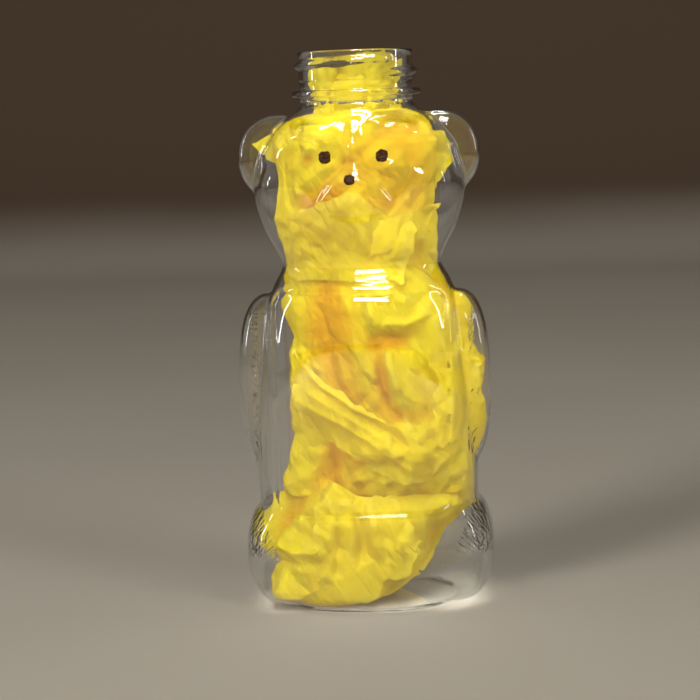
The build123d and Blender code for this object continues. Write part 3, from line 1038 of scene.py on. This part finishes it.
CHEST_FOLDS = (
    (((-17.0, 120.0), (-9.0, 116.0), (-6.0, 106.0)), 1.3, 4.0, 1.0),
    (((-1.0, 127.0), (0.0, 118.0), (5.0, 106.0)), 1.2, 2.5, 0.8),
    (((8.0, 119.0), (7.0, 110.0), (10.0, 101.0)), 1.1, 2.0, 0.8),
)
ARM_EDGES = (
    ((22.0, 51.0), (21.0, 60.0), (22.0, 70.0), (23.0, 79.0)),
    ((31.5, 53.5), (36.0, 60.0), (35.6, 67.0), (34.0, 77.5)),
)
ARM_FOLDS = (
    (((19.0, 63.0), (28.0, 68.0), (36.0, 70.5)), 2.8, 0.7, 3.0),
    (((19.0, 76.0), (28.0, 74.0), (36.0, 74.5)), 2.0, 0.7, 2.0),
    (((19.0, 54.0), (29.0, 59.0), (36.0, 60.0)), 2.4, 0.7, 2.5),
)
PLEAT_EDGES = (
    ((-14.0, 1.6), (-15.0, 12.0), (-16.0, 24.0), (-15.0, 35.0)),
    ((6.5, 5.0), (13.0, 12.0), (16.0, 22.0), (9.0, 35.0)),
)
PLEAT_FOLDS = (
    (((-10.0, 31.0), (-10.6, 18.0), (-11.5, 2.0)), 3.4, 3.0, 0.6),
    (((-4.0, 32.0), (-4.0, 18.0), (-3.0, 2.0)), 3.8, 3.4, 0.6),
    (((2.5, 33.0), (4.5, 18.0), (3.5, 2.0)), 3.4, 3.0, 0.6),
    (((6.0, 32.0), (10.5, 22.0), (11.0, 10.0)), 2.8, 2.6, 0.6),
)
LEFT_EAR_EDGES = (
    ((-23.5, 133.5), (-27.6, 137.0), (-32.0, 141.6)),
    ((-14.0, 134.0), (-15.0, 140.0), (-19.5, 146.4)),
)
RIGHT_EAR_EDGES = (
    ((14.5, 123.5), (12.5, 134.0), (13.0, 146.0)),
    ((23.0, 126.5), (28.6, 134.5), (26.5, 143.5)),
)
CHIN_EDGES = (
    ((3.0, 107.5), (4.5, 113.0), (7.0, 118.0)),
    ((20.0, 112.0), (21.0, 117.0), (24.6, 123.2)),
)
# The way that the strip in the neck winds, seen from above, and how high its edge stands
NECK_LOOP = (
    (-13.5, -2), (-12, -8), (-7, -12.5), (-2, -10), (1, -13.5), (7, -11.5), (9.5, -6), (13.5, -3),
    (12, 3), (8, 5), (9, 10), (3, 13), (-2, 9.5), (-6, 12.5), (-11, 8), (-9, 3), (-12.5, 1),
    (-8, -3), (-4, 1), (0, -4), (4, 0), (1, 4), (-3, 5),
)
NECK_TOPS = (
    167.2, 165.5, 164.0, 167.4, 167.9, 165.5, 164.5, 164.0, 164.6, 162.5, 163.5, 164.8, 162.4,
    163.6, 164.8, 163.0,
)


def paper():
    """The bundles, the flaps on their front and the strip in the neck."""
    material = tissue_paper()
    torso, head, base, neck_paper = (
        [f"{place}_tissue"] for place in ("torso", "head", "base", "neck")
    )
    bundle = wad(
        "body_tissue_sheet", torso + head, BODY_WAD_STATIONS, BODY_FOLDS, BODY_PATCHES,
        60, 3, 1.0, material, 0,
    )
    foot = wad(
        "base_tissue_sheet", base, BASE_STATIONS, BASE_FOLDS, (),
        100, 19, 1.0, material, 6.0,
    )
    flap(
        "sash_tissue_sheet", torso, SASH_EDGES, bundle, 1.6, 41, 0.7, material,
        SASH_FOLDS, crown=SASH_CROWN,
    )
    flap(
        "arm_tissue_sheet", torso, ARM_EDGES, bundle, 1.4, 71, 1.3, material,
        ARM_FOLDS, ragged=2.4,
    )
    flap(
        "chest_tissue_sheet", head, CHEST_EDGES, bundle, 2.2, 43, 0.9, material,
        CHEST_FOLDS, crown=CHEST_CROWN,
    )
    flap("left_ear_tissue_sheet", head, LEFT_EAR_EDGES, bundle, -6.0, 47, 0.7, material)
    flap("right_ear_tissue_sheet", head, RIGHT_EAR_EDGES, bundle, -5.0, 53, 0.7, material)
    flap("chin_tissue_sheet", head, CHIN_EDGES, bundle, 1.8, 59, 0.9, material)
    flap(
        "pleated_tissue_sheet", base, PLEAT_EDGES, foot, 1.0, 61, 0.8, material,
        PLEAT_FOLDS, ragged=1.4,
    )
    wad(
        "gathered_neck_tissue_sheet", neck_paper, NECK_WAD_STATIONS, (), (),
        30, 23, 0.4, material, 0,
    )
    ruffle("neck_tissue_sheet", neck_paper, NECK_LOOP, 149.5, NECK_TOPS, 0.9, 67, material)


# Dabs of paint


DAB_RINGS, DAB_SPOKES = 9, 48
DAB_START = -27.0
DAB_THICKNESS = 0.24
DAB_SQUARENESS = 2.7
# Piece, node, middle (x, z), half width, half height, tilt and seed of each dab
DABS = (
    ("left_eye_dab", "left_eye", -8.4, 137.5, 1.8, 1.85, 0.15, 1.0),
    ("right_eye_dab", "right_eye", 8.4, 137.5, 1.75, 1.85, -0.1, 5.0),
    ("nose_dab", "nose", -1.0, 130.9, 1.65, 1.5, 0.0, 9.0),
)


def paint_dab(name, node, x, z, half_width, half_height, tilt, seed, material):
    """A dab of paint laid on the face, thickest in its middle and ragged at its edge."""
    rings, spokes = DAB_RINGS, DAB_SPOKES
    points, faces = [], []
    for layer in (0, 1):
        for ring in range(rings + 1):
            for spoke in range(spokes):
                angle = 2 * math.pi * spoke / spokes
                share = ring / rings
                c, s = math.cos(angle), math.sin(angle)
                square = abs(c) ** DAB_SQUARENESS + abs(s) ** DAB_SQUARENESS
                square = square ** (-1 / DAB_SQUARENESS)
                ragged = 1 + 0.16 * noise.noise(Vector((c * 2.4 + seed, s * 2.4, seed)))
                ragged += 0.05 * noise.noise(Vector((c * 7.0, s * 7.0 + seed, seed)))
                dx = half_width * c * square * ragged * share
                dz = half_height * s * square * ragged * share
                across = dx * math.cos(tilt) - dz * math.sin(tilt)
                up = dx * math.sin(tilt) + dz * math.cos(tilt)
                streak = 0.05 * noise.noise(Vector((dz * 5.0, seed, dx * 0.8)))
                thick = (DAB_THICKNESS * (1 - share**4) + streak * (1 - share**2)) * layer
                points.append((x + across, thick, z + up))
    points = np.array(points)
    thick = points[:, 1].copy()
    points[:, 1] = DAB_START
    for _ in range(40):
        points[:, 1] -= np.clip(body(points.T), -1, 1) * -0.8
    slope = slope_of(body, points)
    slope /= np.linalg.norm(slope, axis=1)[:, None]
    points += slope * (thick + 0.01)[:, None]
    count = (rings + 1) * spokes
    for layer in (0, 1):
        for ring in range(rings):
            for spoke in range(spokes):
                a = layer * count + ring * spokes + spoke
                b = layer * count + ring * spokes + (spoke + 1) % spokes
                quad = (a, b, b + spokes, a + spokes)
                faces.append(quad if layer else quad[::-1])
    for spoke in range(spokes):
        a = rings * spokes + spoke
        b = rings * spokes + (spoke + 1) % spokes
        faces.append((a, b, b + count, a + count))
    piece = piece_from(name, points, faces)
    only(piece)
    bpy.ops.object.mode_set(mode="EDIT")
    bpy.ops.mesh.select_all(action="SELECT")
    bpy.ops.mesh.remove_doubles(threshold=0.002 * MM)
    bpy.ops.mesh.normals_make_consistent(inside=False)
    bpy.ops.object.mode_set(mode="OBJECT")
    piece.data.polygons.foreach_set("use_smooth", [True] * len(piece.data.polygons))
    return finished(piece, [node], material)


# Camera, floor and lamps

CAMERA_DISTANCE = 600
CAMERA_HEIGHT = 155.5
BEAR_YAW = math.radians(4.0)
PITCH = math.radians(7.4)
ROLL = math.radians(2.0)
FOCAL_PIXELS = 1965
AXIS_PIXELS = 15
IMAGE_PIXELS = 700
SENSOR = 36


def camera():
    aside = math.atan2(AXIS_PIXELS, FOCAL_PIXELS)
    bpy.ops.object.camera_add()
    eye = bpy.context.object
    eye.data.sensor_width = SENSOR
    eye.data.lens = FOCAL_PIXELS / IMAGE_PIXELS * SENSOR
    place = Vector((math.sin(BEAR_YAW), -math.cos(BEAR_YAW), 0)) * CAMERA_DISTANCE
    place.z = CAMERA_HEIGHT
    eye.matrix_world = (
        Matrix.Translation(place * MM)
        @ Matrix.Rotation(BEAR_YAW + aside, 4, "Z")
        @ Matrix.Rotation(math.pi / 2 - PITCH, 4, "X")
        @ Matrix.Rotation(-ROLL, 4, "Z")
    )
    bpy.context.scene.camera = eye


LAMP_AIM = (0, 0, 0.085)
# Each tube's place (y, z) overhead, and the place and energy of the strips and soft lamps
TUBES = (
    (-1.25, 1.0), (-1.12, 1.12), (-0.95, 1.3), (-0.78, 1.35), (-0.61, 1.4), (-0.1, 1.5),
    (0.35, 1.5),
)
TUBE_ASIDE = 0.12
TUBE_SIZE = (0.5, 0.045)
TUBE_ENERGY = 4.5
STRIPS = (((-1.1, 0.05, 0.42), 1.4), ((1.1, 0.05, 0.42), 1.2))
STRIP_SIZE = (0.04, 0.6)
SOFT_LAMPS = (((-0.75, -0.95, 0.6), 11.0), ((0.9, -0.7, 0.4), 5.0), ((0.3, -0.5, 1.4), 2.0))
SOFT_SIZE = (0.35, 0.35)
GLINT_LIMIT = 60
ROOM_COLOUR = (0.86, 0.84, 0.80, 1)
ROOM_STRENGTH = 0.24
FLOOR_SIZE = 4
FLOOR_MIDDLE = (0, -0.9, 0)
FLOOR_COLOURS = (0.44, 0.39, 0.32, 1), (0.48, 0.43, 0.35, 1)
BACKDROP_COLOUR = (0.13, 0.085, 0.055, 1)
BACKDROP_FADE = (0.004, 0.07)
BACKDROP_RISE = 1.6
COVE_RADIUS = 0.5
COVE_STEPS = 16


def lamp(place, size, energy):
    bpy.ops.object.light_add(type="AREA", location=place)
    light = bpy.context.object
    light.data.shape = "RECTANGLE"
    light.data.size, light.data.size_y = size
    light.data.energy = energy
    light.rotation_euler = (Vector(LAMP_AIM) - light.location).to_track_quat("-Z", "Y").to_euler()
    light.visible_transmission = False
    return light


def studio():
    """A beige floor that curves up into a dark backdrop, soft lamps for the paper, and tubes
    and strips that show only as reflections on the plastic."""
    surface = Surface("plain_backdrop")
    tone = surface.grain(3.0, 2.0).between(0.2, 0.8)
    _, _, height = surface.parts(surface.where())
    low = surface.blend(tone, *FLOOR_COLOURS)
    rising = (height + 0.01 * tone).between(*BACKDROP_FADE)
    colour = surface.blend(rising, low, BACKDROP_COLOUR)
    cloth = surface.node("ShaderNodeBsdfPrincipled", Base_Color=colour, Roughness=0.9)
    cloth.inputs["Specular IOR Level"].default_value = 0.1
    material = surface.show(cloth.outputs[0])
    bpy.ops.mesh.primitive_plane_add(size=FLOOR_SIZE, location=FLOOR_MIDDLE)
    floor = bpy.context.object
    floor.name = "studio_floor"
    bpy.ops.object.mode_set(mode="EDIT")
    bpy.ops.mesh.select_all(action="DESELECT")
    bpy.ops.object.mode_set(mode="OBJECT")
    for edge in floor.data.edges:
        ends = [floor.data.vertices[i].co.y for i in edge.vertices]
        edge.select = min(ends) > FLOOR_SIZE / 2 - 0.1
    bpy.ops.object.mode_set(mode="EDIT")
    bpy.ops.mesh.select_mode(type="EDGE")
    for step in range(COVE_STEPS):
        rise = math.pi / 2 * (step + 0.5) / COVE_STEPS
        length = COVE_RADIUS * math.pi / 2 / COVE_STEPS
        move = (0, length * math.cos(rise), length * math.sin(rise))
        bpy.ops.mesh.extrude_edges_move(TRANSFORM_OT_translate={"value": move})
    bpy.ops.mesh.extrude_edges_move(TRANSFORM_OT_translate={"value": (0, 0, BACKDROP_RISE)})
    bpy.ops.object.mode_set(mode="OBJECT")
    bpy.ops.object.transform_apply(location=True)
    floor.data.polygons.foreach_set("use_smooth", [True] * len(floor.data.polygons))
    floor.data.materials.append(material)
    for y, z in TUBES:
        lamp((TUBE_ASIDE, y, z), TUBE_SIZE, TUBE_ENERGY).visible_diffuse = False
    for place, energy in STRIPS:
        lamp(place, STRIP_SIZE, energy).visible_diffuse = False
    for place, energy in SOFT_LAMPS:
        lamp(place, SOFT_SIZE, energy).visible_glossy = False
    world = bpy.data.worlds.new("room")
    bpy.context.scene.world = world
    world.use_nodes = True
    background = world.node_tree.nodes["Background"]
    background.inputs[0].default_value = ROOM_COLOUR
    background.inputs[1].default_value = ROOM_STRENGTH
    bpy.context.scene.cycles.sample_clamp_indirect = GLINT_LIMIT
    bpy.context.scene.view_settings.view_transform = "Standard"


camera()
bottle_shell(clear_plastic())
paint = dark_paint()
for dab in DABS:
    paint_dab(*dab, paint)
paper()
studio()
